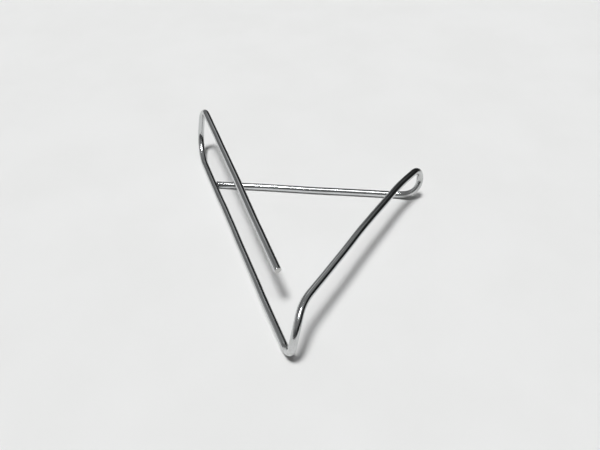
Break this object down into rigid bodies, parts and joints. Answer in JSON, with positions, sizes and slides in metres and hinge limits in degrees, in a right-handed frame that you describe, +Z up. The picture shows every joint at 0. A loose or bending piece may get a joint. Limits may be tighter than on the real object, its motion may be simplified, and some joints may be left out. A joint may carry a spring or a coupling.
{
  "type": "cable needle",
  "caption": "Bright wire bent into a small open triangular stand with looped corners: a raised arm joins the arms lying flat, and a free arm runs back above them to a plain cut tip.",
  "frame": {"origin": "on the table, under the middle of the wire's footprint", "axes": "+Z up from the table, +Y towards the loop where the free arm turns back, away from the front loop, +X towards the loop between the raised arm and the short arm"},
  "size_m": [0.0412, 0.0486, 0.0099],
  "materials": {
    "bright_wire": "bright plated steel wire, polished, with fine drawing lines along its length and handling scratches"
  },
  "bodies": {
    "root": {"bent_wire": "bright_wire"}
  },
  "joints": []
}
